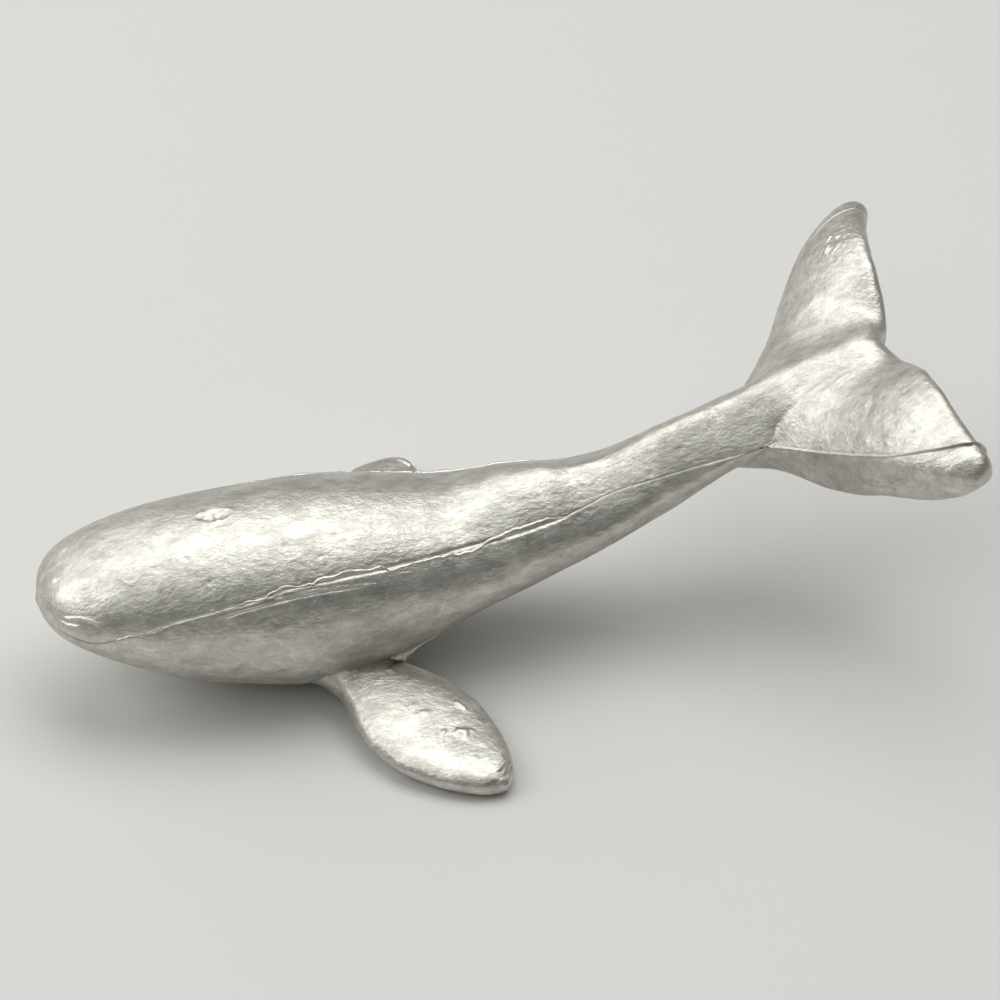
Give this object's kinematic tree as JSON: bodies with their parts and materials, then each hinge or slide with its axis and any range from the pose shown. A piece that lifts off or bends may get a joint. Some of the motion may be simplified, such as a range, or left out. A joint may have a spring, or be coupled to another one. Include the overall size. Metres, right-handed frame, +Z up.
{
  "type": "whale figurine",
  "caption": "Small cast pewter whale that rests on its belly with its tail raised, with swept flippers, spread flukes and a soldered seam along the flank.",
  "frame": {"origin": "centre of the footprint of the bounding box, on the table", "axes": "+X from the nose to the tail along the longest extent, +Y to the whale's right, +Z up from the table"},
  "size_m": [0.074, 0.0404, 0.0274],
  "materials": {
    "pewter": "satin cast pewter, mottled and pitted, warm grey",
    "solder": "smooth bright bead of soft solder"
  },
  "bodies": {
    "root": {"back_casting": "pewter", "belly_casting": "pewter", "fluke_under_casting": "pewter", "left_flipper": "pewter", "right_flipper": "pewter", "left_flank_solder": "solder", "right_flank_solder": "solder", "left_flipper_solder": "solder", "right_flipper_solder": "solder", "tail_joint_solder": "solder"}
  },
  "joints": []
}
